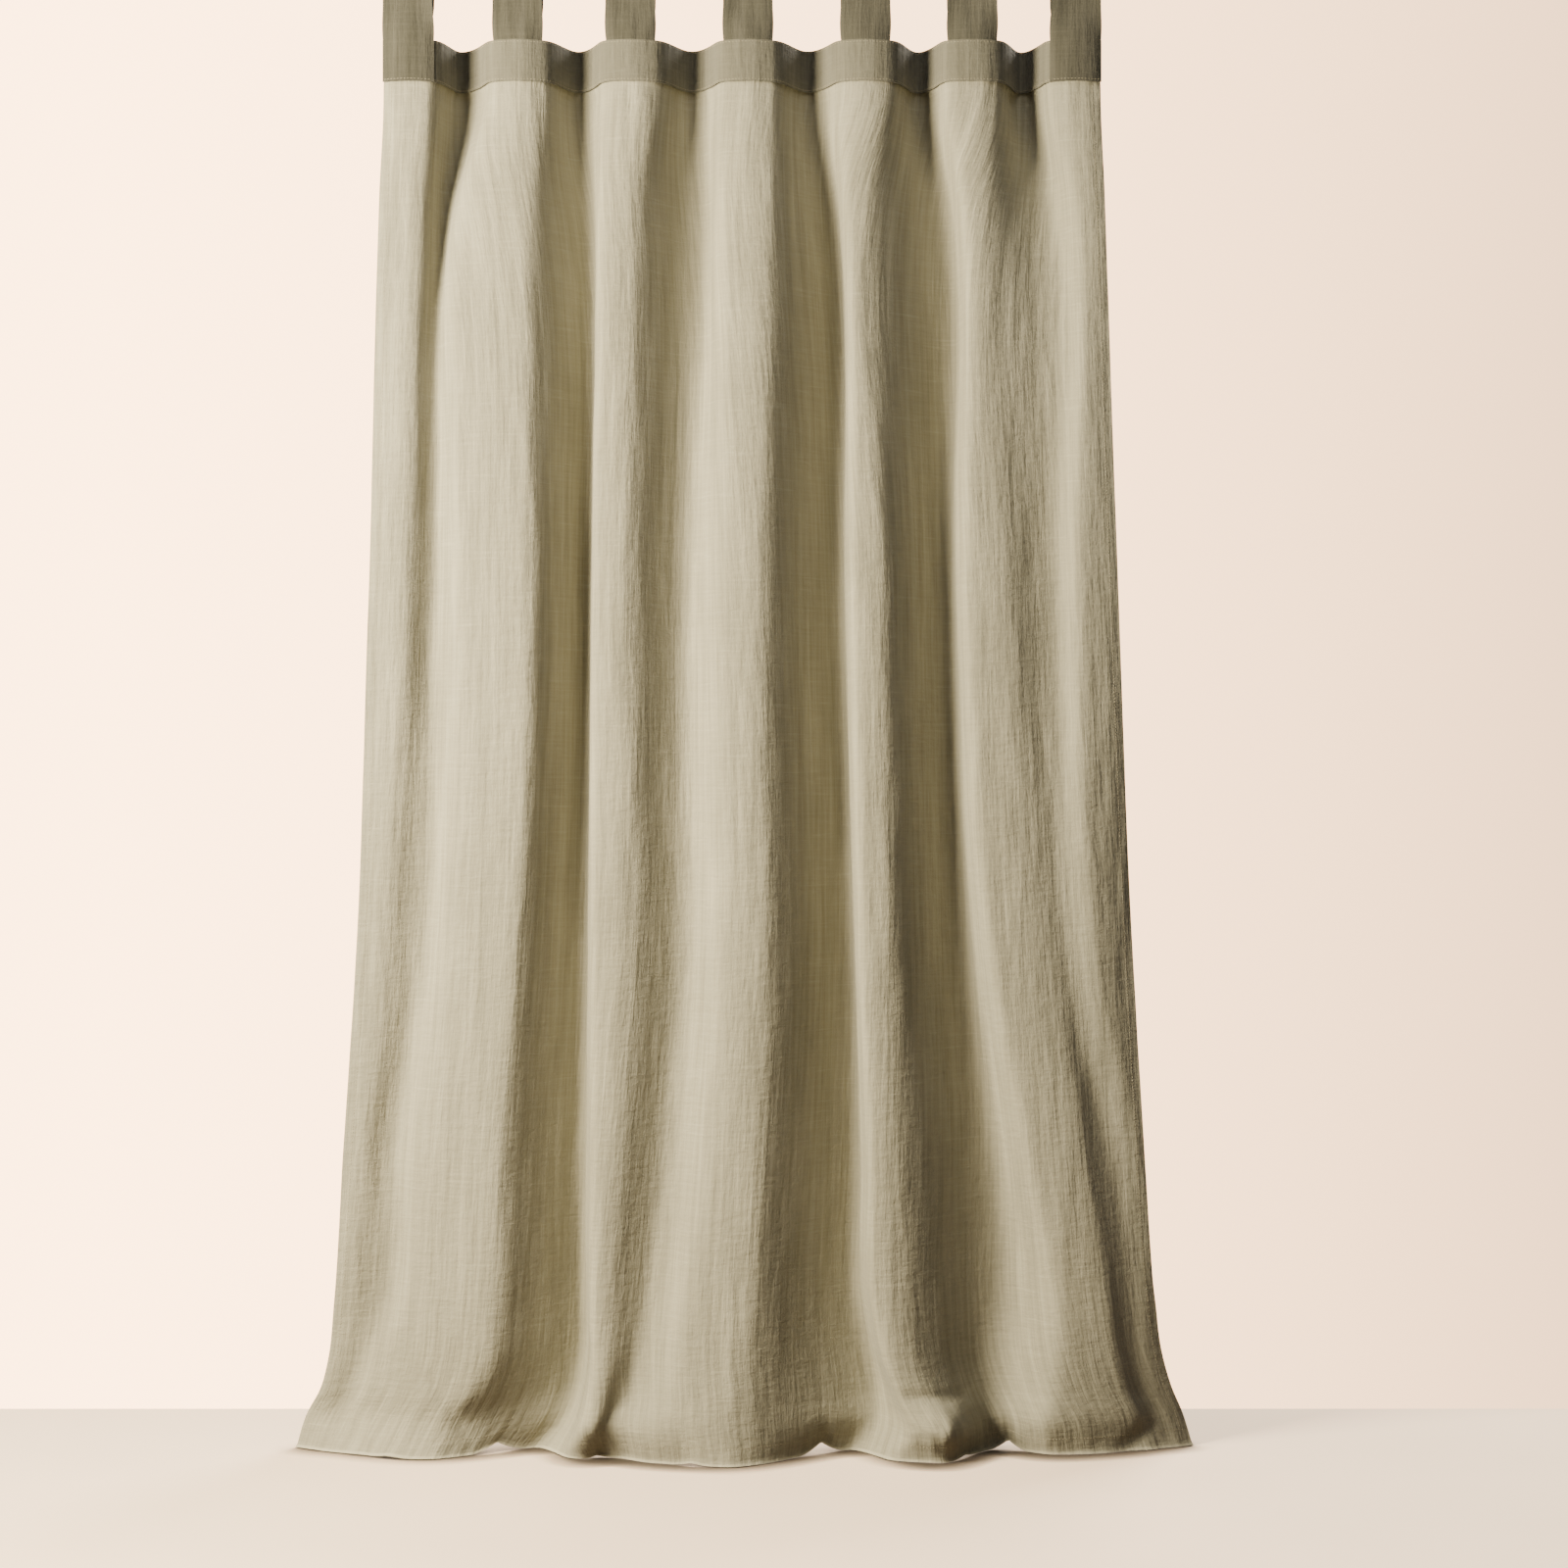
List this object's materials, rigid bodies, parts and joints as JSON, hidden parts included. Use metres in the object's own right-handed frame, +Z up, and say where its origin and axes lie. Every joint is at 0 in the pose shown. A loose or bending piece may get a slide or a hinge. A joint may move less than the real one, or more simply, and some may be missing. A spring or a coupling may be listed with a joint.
{
  "type": "tab-top curtain panel",
  "caption": "Single tab-top linen curtain panel hanging in soft folds from cloth loops, with a doubled heading, narrow hems and a hem that breaks on the floor.",
  "frame": {"origin": "on the axis of the rod that the tabs hang on, midway between the two outer tabs", "axes": "+Z up, +X along the rod to the right as seen from the room, +Y towards the wall"},
  "size_m": [1.3702, 0.1498, 2.2165],
  "materials": {
    "panel_linen": "slub linen, plain weave, matt sage beige",
    "heading_linen": "slub linen, doubled and pressed",
    "tab_linen": "slub linen sewn double, matt",
    "heading_backing": "unbleached woven interlining, matt",
    "sewing_thread": "spun polyester thread, slight sheen"
  },
  "bodies": {
    "cloth": {"panel": "panel_linen", "heading_band": "heading_linen", "heading_interlining": "heading_backing", "heading_back_facing": "heading_linen", "left_side_hem": "panel_linen", "right_side_hem": "panel_linen", "bottom_hem": "panel_linen", "heading_top_stitch": "sewing_thread", "heading_seam_stitch": "sewing_thread", "left_hem_stitch": "sewing_thread", "right_hem_stitch": "sewing_thread", "bottom_hem_stitch": "sewing_thread", "tab_1": "tab_linen", "tab_1_end_stitch": "sewing_thread"},
    "tab_2": {"tab_2": "tab_linen"},
    "tab_3": {"tab_3": "tab_linen"},
    "tab_4": {"tab_4": "tab_linen"},
    "tab_5": {"tab_5": "tab_linen"},
    "tab_6": {"tab_6": "tab_linen"},
    "tab_7": {"tab_7": "tab_linen", "tab_7_end_stitch": "sewing_thread"}
  },
  "joints": [
    {"name": "tab_7_slide", "type": "slide", "parent": "cloth", "child": "tab_7", "axis": [1, 0, 0], "range_m": [-0.5, 0], "deforming": ["panel", "heading_band", "heading_interlining", "heading_back_facing", "left_side_hem", "right_side_hem", "bottom_hem", "heading_top_stitch", "heading_seam_stitch", "left_hem_stitch", "right_hem_stitch", "bottom_hem_stitch"]},
    {"name": "tab_2_slide", "type": "slide", "parent": "cloth", "child": "tab_2", "axis": [1, 0, 0], "range_m": [-0.082, 0]},
    {"name": "tab_3_slide", "type": "slide", "parent": "cloth", "child": "tab_3", "axis": [1, 0, 0], "range_m": [-0.1665, 0]},
    {"name": "tab_4_slide", "type": "slide", "parent": "cloth", "child": "tab_4", "axis": [1, 0, 0], "range_m": [-0.2545, 0]},
    {"name": "tab_5_slide", "type": "slide", "parent": "cloth", "child": "tab_5", "axis": [1, 0, 0], "range_m": [-0.3425, 0]},
    {"name": "tab_6_slide", "type": "slide", "parent": "cloth", "child": "tab_6", "axis": [1, 0, 0], "range_m": [-0.4225, 0]}
  ],
  "couplings": [
    {"joint": "tab_2_slide", "follows": "tab_7_slide", "ratio": 0.164},
    {"joint": "tab_3_slide", "follows": "tab_7_slide", "ratio": 0.333},
    {"joint": "tab_4_slide", "follows": "tab_7_slide", "ratio": 0.509},
    {"joint": "tab_5_slide", "follows": "tab_7_slide", "ratio": 0.685},
    {"joint": "tab_6_slide", "follows": "tab_7_slide", "ratio": 0.845}
  ]
}
